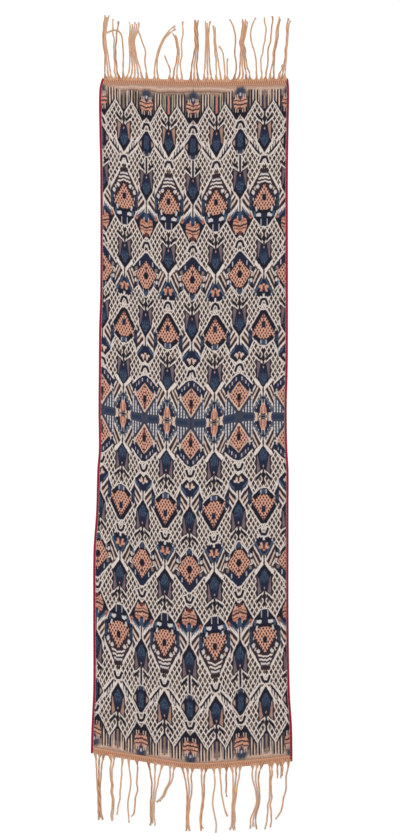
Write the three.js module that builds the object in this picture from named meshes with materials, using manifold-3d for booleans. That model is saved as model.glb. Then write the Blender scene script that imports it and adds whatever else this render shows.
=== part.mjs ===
// Warp-ikat shoulder cloth of handwoven cotton, laid out flat: the ikat panel, a red edging down each side,
// and at each end a woven heading with its warp ends left as a fringe of loose locks.
// Millimetres, +Z up. The warp runs along Y, the underside lies on Z = 0, and the origin is under the middle
// of the whole width and of the whole length, fringes included.
import * as THREE from "three";
import { mergeVertices } from "three/addons/utils/BufferGeometryUtils.js";
import Module from "manifold-3d";

// Driving dimensions
const CLOTH_THICKNESS = 1.2;
const EDGING_WIDTH = 6;
const EDGING_THICKNESS = 2.2;
const HEADING_DEPTH = 20;
const HEADING_THICKNESS = 1.6;
const PIECE_GAP = 0.4;
const OUTLINE_STEP = 24;

const STRAND_WIDTH = 3.4;
const STRAND_HEIGHT = 2.6;
const STRAND_PITCH = 4.6;
const STRAND_STEPS = 9;
const ROOT_WIDTH = 9;
const ROOT_FLARE = 0.14;
const ROOT_INSET = 8;
const RAGGED_CUT = 7;

// Side edges of the whole cloth, edging included: X at stations along the warp, from one end to the other.
const SIDES = [
  { y: -1180, left: -344, right: 343 },
  { y: -1040, left: -341, right: 342 },
  { y: -904, left: -335, right: 334 },
  { y: -640, left: -335, right: 330 },
  { y: -430, left: -334, right: 330 },
  { y: -300, left: -325, right: 330 },
  { y: -156, left: -321, right: 330 },
  { y: -88, left: -316, right: 326 },
  { y: 50, left: -317, right: 324 },
  { y: 180, left: -316, right: 327 },
  { y: 320, left: -315, right: 328 },
  { y: 460, left: -311, right: 328 },
  { y: 860, left: -311, right: 328 },
  { y: 1000, left: -314, right: 330 },
  { y: 1136, left: -314, right: 332 },
  { y: 1180, left: -303, right: 328 },
];

// Outer edges of the two headings: Y at stations across the cloth. The lower end bows outwards.
const ENDS = [
  { x: -345, top: 1171, bottom: -1115 },
  { x: -200, top: 1170, bottom: -1141 },
  { x: 0, top: 1167, bottom: -1173 },
  { x: 170, top: 1168, bottom: -1163 },
  { x: 345, top: 1170, bottom: -1142 },
];

// Each fringe is measured outwards from its own end line, so that a lock's reach is its distance past it.
const TOP = { name: "fringe_top", edge: "top", line: 1171, outward: 1 };
const BOTTOM = { name: "fringe_bottom", edge: "bottom", line: -1173, outward: -1 };

// Locks of the fringe. A lock's strands leave the heading evenly between X = from and X = to, draw together
// towards gather and bend, and end at tip, where neighbours stand spread apart. Points are [X, reach].
const TOP_LOCKS = [
  { from: -291, to: -268, strands: 3, gather: [-298, 90], bend: [-297, 160], tip: [-290, 219], spread: 6 },
  { from: -256, to: -245, strands: 2, gather: [-266, 60], bend: [-262, 140], tip: [-257, 206], spread: 22 },
  { from: -233, to: -233, strands: 1, gather: [-232, 90], bend: [-226, 168], tip: [-250, 158], spread: 4 },
  { from: -222, to: -166, strands: 5, gather: [-199, 70], bend: [-202, 130], tip: [-198, 196], spread: 8 },
  { from: -152, to: -152, strands: 1, gather: [-158, 80], bend: [-160, 130], tip: [-182, 164], spread: 4 },
  { from: -125, to: -112, strands: 2, gather: [-132, 70], bend: [-104, 150], tip: [-52, 181], spread: 8 },
  { from: -76, to: -76, strands: 1, gather: [-72, 40], bend: [-84, 62], tip: [-93, 82], spread: 4 },
  { from: -64, to: -48, strands: 2, gather: [-52, 60], bend: [-40, 122], tip: [-58, 160], spread: 7 },
  { from: -34, to: -34, strands: 1, gather: [-38, 90], bend: [-34, 160], tip: [-26, 197], spread: 4 },
  { from: -5, to: 23, strands: 3, gather: [12, 90], bend: [17, 160], tip: [19, 203], spread: 6 },
  { from: 41, to: 71, strands: 3, gather: [50, 70], bend: [54, 140], tip: [54, 199], spread: 8 },
  { from: 84, to: 101, strands: 2, gather: [84, 80], bend: [78, 140], tip: [76, 184], spread: 5 },
  { from: 114, to: 114, strands: 1, gather: [112, 50], bend: [106, 96], tip: [96, 116], spread: 4 },
  { from: 124, to: 124, strands: 1, gather: [119, 26], bend: [119, 48], tip: [124, 72], spread: 4 },
  { from: 140, to: 140, strands: 1, gather: [158, 60], bend: [156, 140], tip: [128, 205], spread: 4 },
  { from: 156, to: 202, strands: 4, gather: [176, 60], bend: [168, 140], tip: [181, 205], spread: 5.5 },
  { from: 221, to: 221, strands: 1, gather: [226, 90], bend: [182, 140], tip: [216, 211], spread: 4 },
  { from: 237, to: 237, strands: 1, gather: [234, 100], bend: [256, 150], tip: [250, 212], spread: 4 },
  { from: 251, to: 251, strands: 1, gather: [256, 80], bend: [276, 160], tip: [273, 216], spread: 4 },
  { from: 265, to: 279, strands: 2, gather: [276, 70], bend: [290, 150], tip: [299, 214], spread: 6 },
  { from: 297, to: 297, strands: 1, gather: [300, 20], bend: [303, 34], tip: [305, 52], spread: 4 },
  { from: 307, to: 316, strands: 2, gather: [322, 70], bend: [320, 150], tip: [333, 208], spread: 6 },
];
const BOTTOM_LOCKS = [
  { from: -328, to: -298, strands: 3, gather: [-316, 20], bend: [-318, 100], tip: [-309, 173], spread: 6 },
  { from: -278, to: -266, strands: 2, gather: [-268, 20], bend: [-276, 90], tip: [-265, 177], spread: 6 },
  { from: -234, to: -234, strands: 1, gather: [-238, 40], bend: [-246, 100], tip: [-252, 156], spread: 4 },
  { from: -212, to: -212, strands: 1, gather: [-210, 40], bend: [-210, 130], tip: [-218, 181], spread: 4 },
  { from: -187, to: -187, strands: 1, gather: [-183, 60], bend: [-184, 130], tip: [-207, 160], spread: 4 },
  { from: -146, to: -96, strands: 3, gather: [-130, 60], bend: [-132, 130], tip: [-134, 192], spread: 8 },
  { from: -72, to: -56, strands: 2, gather: [-72, 40], bend: [-92, 92], tip: [-112, 118], spread: 8 },
  { from: -34, to: 4, strands: 3, gather: [-6, 60], bend: [-12, 150], tip: [-14, 211], spread: 5 },
  { from: 34, to: 50, strands: 2, gather: [40, 60], bend: [32, 130], tip: [34, 211], spread: 5 },
  { from: 75, to: 75, strands: 1, gather: [75, 80], bend: [76, 150], tip: [80, 217], spread: 4 },
  { from: 97, to: 97, strands: 1, gather: [96, 60], bend: [104, 130], tip: [124, 160], spread: 4 },
  { from: 118, to: 118, strands: 1, gather: [121, 20], bend: [112, 60], tip: [119, 94], spread: 4 },
  { from: 136, to: 167, strands: 3, gather: [148, 60], bend: [142, 150], tip: [138, 208], spread: 6 },
  { from: 205, to: 239, strands: 3, gather: [222, 60], bend: [222, 120], tip: [212, 204], spread: 10 },
  { from: 265, to: 274, strands: 2, gather: [268, 50], bend: [268, 120], tip: [259, 205], spread: 20 },
  { from: 291, to: 291, strands: 1, gather: [291, -10], bend: [292, 10], tip: [292, 31], spread: 4 },
  { from: 302, to: 314, strands: 2, gather: [306, -10], bend: [306, 10], tip: [306, 31], spread: 5 },
  { from: 331, to: 331, strands: 1, gather: [318, 40], bend: [322, 120], tip: [287, 172], spread: 4 },
];

const MATERIALS = {
  ikat: new THREE.MeshStandardMaterial({ color: 0x7d7072, roughness: 0.92, metalness: 0 }),
  edging: new THREE.MeshStandardMaterial({ color: 0x8e2a44, roughness: 0.88, metalness: 0 }),
  fringe: new THREE.MeshStandardMaterial({ color: 0xd2a283, roughness: 0.95, metalness: 0 }),
};

const wasm = await Module();
wasm.setup();

// A smooth curve through a table's rows: the named column as a function of the key column.
function through(rows, key, column) {
  const keys = rows.map((row) => row[key]);
  const values = rows.map((row) => row[column]);
  const curve = new THREE.CubicInterpolant(keys, values, 1);
  return (at) => curve.evaluate(at)[0];
}

const sideAt = { left: through(SIDES, "y", "left"), right: through(SIDES, "y", "right") };
const endAt = { top: through(ENDS, "x", "top"), bottom: through(ENDS, "x", "bottom") };
const INWARD = { left: 1, right: -1, top: -1, bottom: 1 };

// Values from one end to the other: both ends, and the round steps between them, which all pieces share.
function spaced(from, to) {
  const [low, high] = from < to ? [from, to] : [to, from];
  const values = [low];
  for (let at = (Math.floor(low / OUTLINE_STEP) + 1) * OUTLINE_STEP; at < high; at += OUTLINE_STEP) {
    values.push(at);
  }
  values.push(high);
  return from < to ? values : values.reverse();
}

// Where a side edge, moved inwards by inset, meets an end edge that is moved inwards by depth.
function corner(side, end, inset, depth) {
  const nearX = sideAt[side](endAt[end](0)) + INWARD[side] * inset;
  const y = endAt[end](nearX) + INWARD[end] * depth;
  return new THREE.Vector2(sideAt[side](y) + INWARD[side] * inset, y);
}

// Points along a side edge, moved inwards by inset, between two places along the warp.
function sideLine(side, inset, fromY, toY) {
  return spaced(fromY, toY).map((y) => new THREE.Vector2(sideAt[side](y) + INWARD[side] * inset, y));
}

// Points along an end edge, moved inwards by depth, between two places across the cloth.
function endLine(end, depth, fromX, toX) {
  return spaced(fromX, toX).map((x) => new THREE.Vector2(x, endAt[end](x) + INWARD[end] * depth));
}

// A flat piece of even thickness lying on Z = 0.
function flatPiece(outline, thickness) {
  return new THREE.ExtrudeGeometry(new THREE.Shape(outline), { depth: thickness, bevelEnabled: false });
}

// The outline inside the edging between two end edges, anticlockwise from the lower left corner.
function panelOutline(low, high) {
  const inset = EDGING_WIDTH + PIECE_GAP;
  const lowLeft = corner("left", low.end, inset, low.depth);
  const lowRight = corner("right", low.end, inset, low.depth);
  const highRight = corner("right", high.end, inset, high.depth);
  const highLeft = corner("left", high.end, inset, high.depth);
  const lines = [
    endLine(low.end, low.depth, lowLeft.x, lowRight.x),
    sideLine("right", inset, lowRight.y, highRight.y),
    endLine(high.end, high.depth, highRight.x, highLeft.x),
    sideLine("left", inset, highLeft.y, lowLeft.y),
  ];
  return lines.flatMap((line) => line.slice(0, -1));
}

function clothGeometry() {
  const depth = HEADING_DEPTH + PIECE_GAP;
  return flatPiece(panelOutline({ end: "bottom", depth }, { end: "top", depth }), CLOTH_THICKNESS);
}

function edgingGeometry(side) {
  const low = corner(side, "bottom", 0, 0).y;
  const high = corner(side, "top", 0, 0).y;
  const outer = sideLine(side, 0, low, high);
  const inner = sideLine(side, EDGING_WIDTH, high, low);
  return flatPiece([...outer, ...inner], EDGING_THICKNESS);
}

function headingGeometry(fringe) {
  const outer = { end: fringe.edge, depth: 0 };
  const inner = { end: fringe.edge, depth: HEADING_DEPTH };
  const outline = fringe.edge === "top" ? panelOutline(inner, outer) : panelOutline(outer, inner);
  return flatPiece(outline, HEADING_THICKNESS);
}

// The centre lines of a lock's strands, as Bezier curves on the floor.
function lockPaths(fringe, lock) {
  const point = ([x, reach]) => new THREE.Vector3(x, fringe.line + fringe.outward * reach, 0);
  const [gather, bend, tip] = [point(lock.gather), point(lock.bend), point(lock.tip)];
  const run = tip.clone().sub(gather).normalize();
  const across = new THREE.Vector3(fringe.outward * run.y, -fringe.outward * run.x, 0);
  return Array.from({ length: lock.strands }, (_, i) => {
    const share = lock.strands > 1 ? i / (lock.strands - 1) : 0.5;
    const rank = i - (lock.strands - 1) / 2;
    const rootX = lock.from + (lock.to - lock.from) * share;
    const root = new THREE.Vector3(rootX, endAt[fringe.edge](rootX) - fringe.outward * ROOT_INSET, 0);
    const beside = across.clone().multiplyScalar(rank * STRAND_PITCH);
    const end = tip.clone().addScaledVector(across, rank * lock.spread);
    end.addScaledVector(run, -RAGGED_CUT * (i % 2));
    return new THREE.CubicBezierCurve3(root, gather.clone().add(beside), bend.clone().add(beside), end);
  });
}

// The section of a strand: flat on the floor and narrower on top, as [share of half width, share of height].
const STRAND_SECTION = [
  [-1, 0],
  [1, 0],
  [0.55, 1],
  [-0.55, 1],
];

// A strand lofted through its section along a path, wide at the root and of even width after it.
function strandGeometry(path) {
  const sides = STRAND_SECTION.length;
  const positions = [];
  for (let step = 0; step <= STRAND_STEPS; step++) {
    const t = step / STRAND_STEPS;
    const centre = path.getPoint(t);
    const run = path.getTangent(t);
    const flare = Math.max(0, 1 - t / ROOT_FLARE);
    const half = (STRAND_WIDTH + (ROOT_WIDTH - STRAND_WIDTH) * flare) / 2;
    for (const [across, up] of STRAND_SECTION) {
      positions.push(centre.x + run.y * half * across, centre.y - run.x * half * across, STRAND_HEIGHT * up);
    }
  }
  const faces = [];
  for (let step = 0; step < STRAND_STEPS; step++) {
    for (let side = 0; side < sides; side++) {
      const a = step * sides + side;
      const b = step * sides + ((side + 1) % sides);
      faces.push(a, b + sides, b, a, a + sides, b + sides);
    }
  }
  const last = STRAND_STEPS * sides;
  faces.push(0, 1, 2, 0, 2, 3, last, last + 2, last + 1, last, last + 3, last + 2);
  const geometry = new THREE.BufferGeometry();
  geometry.setAttribute("position", new THREE.Float32BufferAttribute(positions, 3));
  geometry.setIndex(faces);
  return geometry;
}

function solidOf(geometry) {
  const bare = geometry.clone();
  bare.deleteAttribute("normal");
  bare.deleteAttribute("uv");
  const merged = mergeVertices(bare);
  const vertProperties = new Float32Array(merged.attributes.position.array);
  const triVerts = new Uint32Array(merged.index.array);
  return new wasm.Manifold(new wasm.Mesh({ numProp: 3, vertProperties, triVerts }));
}

function geometryOf(solid) {
  const { vertProperties, triVerts } = solid.getMesh();
  const geometry = new THREE.BufferGeometry();
  geometry.setAttribute("position", new THREE.Float32BufferAttribute(vertProperties, 3));
  geometry.setIndex(new THREE.BufferAttribute(triVerts, 1));
  geometry.computeVertexNormals();
  return geometry;
}

// A heading with the strands of its locks grown out of it, as one piece.
function fringeGeometry(fringe, locks) {
  const heading = solidOf(headingGeometry(fringe));
  const paths = locks.flatMap((lock) => lockPaths(fringe, lock));
  const strands = paths.map((path) => solidOf(strandGeometry(path)));
  return geometryOf(strands.reduce((joined, strand) => joined.add(strand), heading));
}

function piece(name, geometry, material) {
  const mesh = new THREE.Mesh(geometry, material);
  mesh.name = name;
  return mesh;
}

const shoulderCloth = new THREE.Group();
shoulderCloth.add(piece("cloth", clothGeometry(), MATERIALS.ikat));
for (const side of ["left", "right"]) {
  shoulderCloth.add(piece(`edging_${side}`, edgingGeometry(side), MATERIALS.edging));
}
shoulderCloth.add(piece(TOP.name, fringeGeometry(TOP, TOP_LOCKS), MATERIALS.fringe));
shoulderCloth.add(piece(BOTTOM.name, fringeGeometry(BOTTOM, BOTTOM_LOCKS), MATERIALS.fringe));

export default shoulderCloth;
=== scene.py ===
"""Looks of a warp-ikat shoulder cloth laid flat: panel, red edging, twined headings and loose fringes."""

import bpy
import numpy as np
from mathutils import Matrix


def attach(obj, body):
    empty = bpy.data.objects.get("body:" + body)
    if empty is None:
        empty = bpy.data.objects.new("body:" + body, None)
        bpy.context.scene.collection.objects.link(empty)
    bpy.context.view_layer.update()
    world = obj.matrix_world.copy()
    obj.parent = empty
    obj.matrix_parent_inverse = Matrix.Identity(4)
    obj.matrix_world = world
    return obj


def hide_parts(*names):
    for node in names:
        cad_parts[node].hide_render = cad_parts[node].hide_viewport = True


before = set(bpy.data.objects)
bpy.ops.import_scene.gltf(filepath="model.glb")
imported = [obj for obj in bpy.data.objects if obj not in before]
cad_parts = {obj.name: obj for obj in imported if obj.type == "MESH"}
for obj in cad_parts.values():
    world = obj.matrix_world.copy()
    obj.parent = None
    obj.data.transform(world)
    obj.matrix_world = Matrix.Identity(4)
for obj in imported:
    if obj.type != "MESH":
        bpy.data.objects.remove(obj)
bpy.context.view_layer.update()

bl_info = {
    "name": "Ikat shoulder cloth",
    "version": (1, 0, 0),
    "blender": (4, 5, 0),
    "location": "View3D > Sidebar > Ikat",
    "description": "Builds a handwoven warp-ikat shoulder cloth with edging, headings and fringes",
    "category": "Object",
}

MM = 0.001


def columns(names, *rows):
    """A table as one array for each named column."""
    return dict(zip(names.split(), np.array(rows, float).T))


# Side edges of the whole cloth in millimetres, edging included, along the warp.
SIDES = columns(
    "y left right",
    (-1180, -344, 343), (-1040, -341, 342), (-904, -335, 334), (-640, -335, 330), (-430, -334, 330),
    (-300, -325, 330), (-156, -321, 330), (-88, -316, 326), (50, -317, 324), (180, -316, 327),
    (320, -315, 328), (460, -311, 328), (860, -311, 328), (1000, -314, 330), (1136, -314, 332),
    (1180, -303, 328),
)

# Outer edges of the two headings in millimetres, across the cloth.
ENDS = columns(
    "x top bottom",
    (-345, 1176, -1117), (-200, 1175, -1142), (0, 1170, -1171), (170, 1171, -1164), (345, 1175, -1145),
)

# Locks of the fringes in millimetres: strands leave the heading between start and stop, draw together towards
# gather and bend, and end at tip, spread apart. The r of each point is its reach past the end's line.
LOCK_COLUMNS = "start stop strands gather_x gather_r bend_x bend_r tip_x tip_r spread"
FRINGES = {
    "top": {
        "line": 1171,
        "outward": 1,
        "locks": columns(
            LOCK_COLUMNS,
            (-291, -268, 3, -298, 90, -297, 160, -290, 219, 6),
            (-256, -245, 2, -266, 60, -262, 140, -257, 206, 22),
            (-233, -233, 1, -233, 120, -222, 196, -290, 158, 4),
            (-222, -166, 5, -199, 70, -202, 130, -198, 196, 8),
            (-152, -152, 1, -158, 80, -160, 130, -182, 164, 4),
            (-125, -112, 2, -132, 70, -104, 150, -52, 181, 8),
            (-76, -76, 1, -72, 40, -84, 62, -93, 82, 4),
            (-64, -48, 2, -52, 60, -40, 122, -58, 160, 7),
            (-34, -34, 1, -38, 90, -34, 160, -26, 197, 4),
            (-5, 23, 3, 12, 90, 17, 160, 19, 203, 6),
            (41, 71, 3, 50, 70, 54, 140, 54, 199, 8),
            (84, 101, 2, 84, 80, 78, 140, 76, 184, 5),
            (114, 114, 1, 112, 50, 106, 96, 96, 116, 4),
            (124, 124, 1, 119, 26, 119, 48, 124, 72, 4),
            (140, 140, 1, 158, 60, 156, 140, 128, 205, 4),
            (156, 202, 4, 176, 60, 168, 140, 181, 205, 5.5),
            (221, 221, 1, 226, 90, 182, 140, 216, 211, 4),
            (237, 237, 1, 234, 100, 256, 150, 250, 212, 4),
            (251, 251, 1, 256, 80, 276, 160, 273, 216, 4),
            (265, 279, 2, 276, 70, 290, 150, 299, 214, 6),
            (297, 297, 1, 300, 20, 303, 34, 305, 52, 4),
            (307, 316, 2, 322, 70, 320, 150, 333, 208, 6),
        ),
    },
    "bottom": {
        "line": -1173,
        "outward": -1,
        "locks": columns(
            LOCK_COLUMNS,
            (-328, -298, 3, -316, 20, -318, 100, -309, 173, 6),
            (-278, -266, 2, -268, 20, -276, 90, -265, 177, 6),
            (-234, -234, 1, -238, 40, -246, 100, -252, 156, 4),
            (-212, -212, 1, -210, 40, -210, 130, -218, 181, 4),
            (-187, -187, 1, -183, 60, -184, 130, -207, 160, 4),
            (-146, -96, 3, -130, 60, -132, 130, -134, 192, 8),
            (-72, -56, 2, -72, 40, -92, 92, -112, 118, 8),
            (-34, 4, 3, -6, 60, -12, 150, -14, 211, 5),
            (34, 50, 2, 40, 60, 32, 130, 34, 211, 5),
            (75, 75, 1, 75, 80, 76, 150, 80, 217, 4),
            (97, 97, 1, 96, 60, 104, 130, 124, 160, 4),
            (118, 118, 1, 121, 20, 112, 60, 119, 94, 4),
            (136, 167, 3, 148, 60, 142, 150, 138, 208, 6),
            (205, 239, 3, 222, 60, 222, 120, 212, 204, 10),
            (265, 274, 2, 268, 50, 268, 120, 259, 205, 20),
            (291, 291, 1, 291, -10, 292, 10, 292, 31, 4),
            (302, 314, 2, 306, -10, 306, 10, 306, 31, 5),
            (331, 331, 1, 318, 40, 322, 120, 287, 172, 4),
        ),
    },
}

# Strands of a lock lie a pitch apart and start inside the heading, and every other one is cut shorter.
STRAND_PITCH = 3.2
ROOT_INSET = 8
RAGGED_CUT = 7

# Waves of a lock: length and usual height in millimetres. Its strands share them but for a part of their own,
# and the waves set in over a distance from the root.
SWAY = columns("length height", (42, 0.6), (75, 1.3), (150, 2))
SWAY_OWN = 0.3
SWAY_START = 30

# A strand's yarns: how many, points along and corners round each, and travel for each radian of winding.
YARNS = 6
YARN_STEPS = 45
YARN_CORNERS = 6
WINDING = 5.5

# The yarns fan out at the root and part at the tip: width to each side, and distance over which that fades.
ROOT_FAN = 9.5
ROOT_FADE = 12
TIP_FAN = 2.2
TIP_STRAY = 1.6
TIP_FADE = 10

# At the tip the yarns lose these shares of their winding and of their thickness.
TIP_UNWIND = 0.7
TIP_TAPER = 0.45

# Tones of the strands, from stained yarn and painted shade at 0 to faded at 1, and how far single yarns differ
# from their strand.
TONE_LOW = 0.2
TONE_HIGH = 0.8
TONE_OWN = 0.22

# The fringes' seed of chance.
SEED = 5

# The edging: X at which its ends are read off the end curves, points for each turn and section, and swell.
EDGING_X = 335.0
TURN_STEPS = 4
SECTION_POINTS = 9
SWELL = 0.07

# The headings: points across and along, rows of twining, their height, and the part of a turn that they slant
# in each row.
HEADING_POINTS = 421, 16
TWINING_ROWS = 3
TWINING_HEIGHT = 0.8
TWINING_SLANT = 0.5

# The panel's points across and along, and its ripples: millimetres for each radian of the waves and of the
# bends in them, and how far the bends shift them, in radians.
PANEL_POINTS = 71, 231
RIPPLE_X = 83
RIPPLE_Y = 131
BEND_X = 160
BEND_Y = 210
ACROSS_BEND = 0.6
ALONG_BEND = 0.8

# The stage in metres and radians: half the floor's width, its drop below the cloth, the light and the camera.
FLOOR_HALF = 6
FLOOR_DROP = 0.0005
WORLD_STRENGTH = 0.6
LAMP_SIZE = (4, 5)
LAMP_PLACE = (-1.2, 0.8, 5)
LAMP_TURN = (-0.157, -0.234, 0)
LAMP_WATTS = 184
CAMERA_PLACE = (0.0286, 0.0204, 6.711)
LENS_MM = 85
SENSOR_MM = 36

# Rounds in which two values that depend on each other settle, and half the width from which a plan starts.
ROUNDS = 4
HALF_WIDTH = 320.0

# Where the figures run down the cloth: X in millimetres of each column's axis, from one side to the other.
AXES = columns(
    "y main0 offset0 main1 offset1 main2 offset2 main3",
    (-1142, -252, -172, -92, -4, 87, 170, 256),
    (-768, -249, -171, -93, -8, 80, 164, 250),
    (-326, -241, -167, -90, -7, 75, 159, 245),
    (14, -233, -160, -84, -2, 77, 161, 243),
    (592, -227, -154, -79, 4, 82, 164, 246),
    (1170, -232, -153, -78, 6, 86, 166, 249),
)

# The chart is drawn in units of this many millimetres. MIDDLE is the Y of its mirror line in millimetres, and
# HALF_REPEAT the distance of neighbouring column axes in chart units.
CHART_MM = 3.4
MIDDLE = 12
HALF_REPEAT = 23.6

# In chart units: lozenges of the net and where one of them lies, and lozenges of the orange's dots.
NET_WIDTH = 4.3
NET_HEIGHT = 7.95
NET_X = 1
NET_Y = -1.3
DOT_WIDTH = 3
DOT_HEIGHT = 5.2

# Stripes of the combs and the fences, and beads on the fences' stripes.
STRIPE_WIDTH = 2.8
BEAD_HEIGHT = 3.4

# How far a figure's edge is blurred, how far single yarns stray across and along, and groups of them along.
SOFT = 0.4
FRAY_ACROSS = 0.5
FRAY_ALONG = 1.5
DRIFT_ALONG = 1.6

# Near the ends: depth of a light and of a dark line in the weft, how far they wave, and depths between which
# the bare warp gives way to the pattern, frayed by the yarns.
LIGHT_LINE = 6.6
DARK_LINE = 10
LINE_WAVE = 5
BARE_FULL = 13.5
BARE_STOP = 18
BARE_FRAY = 7

# Patches of each kind of noise in one chart unit, across the yarns and along them.
GRAIN = {
    "drift": (0.45, 0.05),
    "fine": (1.9, 0.12),
    "net": (0.23, 0.13),
    "beetle": (0.7, 0.4),
    "fleck": (1.1, 0.45),
    "comb": (0.3, 0.03),
    "line": (1.4 / HALF_REPEAT, 0.01),
    "bare": (0.5, 0.06),
    "seam": (0.2, 0.25),
    "streak": (1.3, 0.1),
    "shade": (0.6, 0.45),
}

# How far the warp yarns at each column's axis, and at the two edges, slipped towards the upper end when the
# loom was set up and the cloth was beaten, at stations along the cloth.
SLIP = columns(
    "station edge0 main0 offset0 main1 offset1 main2 offset2 main3 edge1",
    (-320, 4, -2.5, -8, -9.5, -15, -14.5, -10, -7.5, -7),
    (-270, 5, 0.5, -3.5, -7.5, -13.5, -13, -6.5, -3, -4.5),
    (-215, 9, 5.5, -0.5, -3, -6.5, -7, -2, 0, 1),
    (-150, 10, 7, 0.5, -1.5, -6.5, -5, 0.5, 2.5, 3),
    (-90, 12, 7.5, 2, -1, -4.5, -4, 2.5, 3.5, 3.5),
    (-25, 11, 7.5, 2, 0.5, -3.5, -2, 3.5, 4.5, 3.5),
    (25, 11, 6.5, 2, 0, -3, -2, 4, 3.5, 3.5),
    (90, 10.5, 7, 1.5, 0.5, -3, -1, 3, 4.5, 2.5),
    (150, 10, 6.5, 1.5, 1, -2.5, -0.5, 3.5, 4.5, 4.5),
    (215, 9.5, 6, 2, 0, -2, -1, 4, 4.5, 5.5),
    (320, 9, 5.5, 2, -0.5, -0.5, 0, 5, 5.5, 5.5),
)

# The two kinds of column.
MAIN, OFFSET = 0, 1

# The column axis in the middle, along which a dark line runs like the seam of two loom widths.
SEAM_COLUMN = 3

# Where each motif of the half repeat stands: column, and distance from the mirror line in chart units.
PLACES = {
    "main": [(MAIN, 0)],
    "offset": [(OFFSET, 0)],
    "plume": [(OFFSET, 217.8), (OFFSET, 81.3)],
    "feather": [(MAIN, 146), (MAIN, 30)],
    "flower": [(MAIN, 267), (OFFSET, 221), (MAIN, 149), (OFFSET, 84.2), (MAIN, 29.5)],
    "sharp_tip": [(MAIN, 265.5), (OFFSET, 219.3), (OFFSET, 83.4)],
    "blunt_tip": [(MAIN, 147.5), (MAIN, 31)],
    "brow": [(OFFSET, 294), (MAIN, 258.5), (OFFSET, 175.6), (MAIN, 116.8), (OFFSET, 52)],
}


def bar(left, right, low, high):
    """Corners of an upright bar of the chart."""
    return (left, low), (right, low), (right, high), (left, high)


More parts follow.
